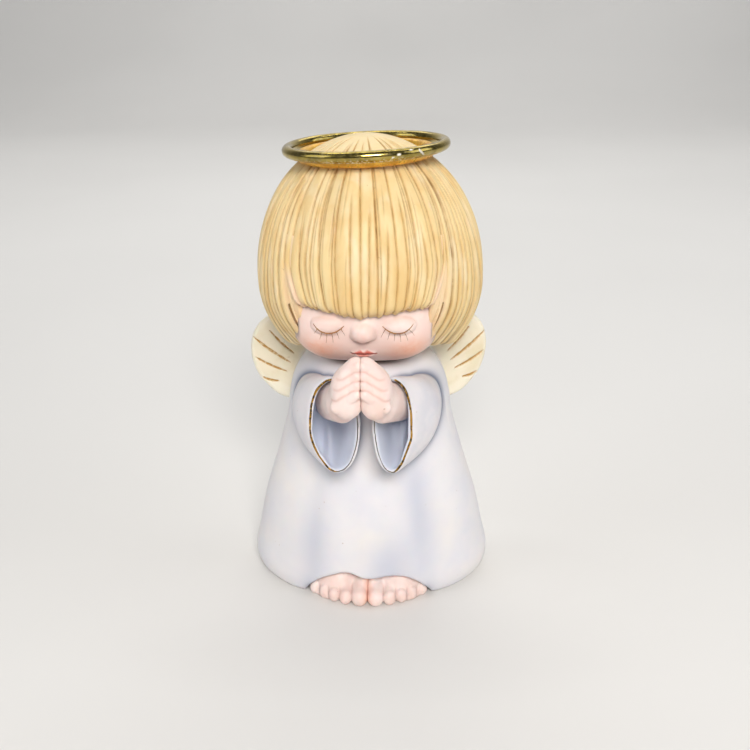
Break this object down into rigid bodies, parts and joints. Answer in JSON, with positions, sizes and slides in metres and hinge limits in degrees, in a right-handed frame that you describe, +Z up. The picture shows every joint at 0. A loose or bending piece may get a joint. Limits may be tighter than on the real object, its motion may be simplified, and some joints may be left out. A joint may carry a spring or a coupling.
{
  "type": "resin angel figurine",
  "caption": "Standing praying angel figurine with bell robe, bowl-cut hair, small wings and a ring halo resting on the crown",
  "frame": {"origin": "on the resting face, on the middle line of the robe, under the centre of its oval", "axes": "+Z up, the angel faces -Y, and its own left side is +X"},
  "size_m": [0.0684, 0.0704, 0.123],
  "materials": {
    "robe_white": "matt white cast resin with pale lavender-grey airbrushed folds and gold cuff lines",
    "skin": "matt pale pink cast resin with airbrushed blush and fine painted lashes",
    "hair_blond": "matt golden blond with an ochre-brown wash in the carved grooves",
    "halo_gold": "bright mirror gold over a white casting, with small chips",
    "wing_cream": "matt cream with gold-brown engraved feather lines"
  },
  "bodies": {
    "root": {"robe_body": "robe_white", "head_casting": "skin", "hair_cap": "hair_blond", "halo_ring": "halo_gold", "sleeve_left": "robe_white", "sleeve_right": "robe_white", "hand_left": "skin", "hand_right": "skin", "wing_left": "wing_cream", "wing_right": "wing_cream", "foot_left": "skin", "foot_right": "skin"}
  },
  "joints": []
}
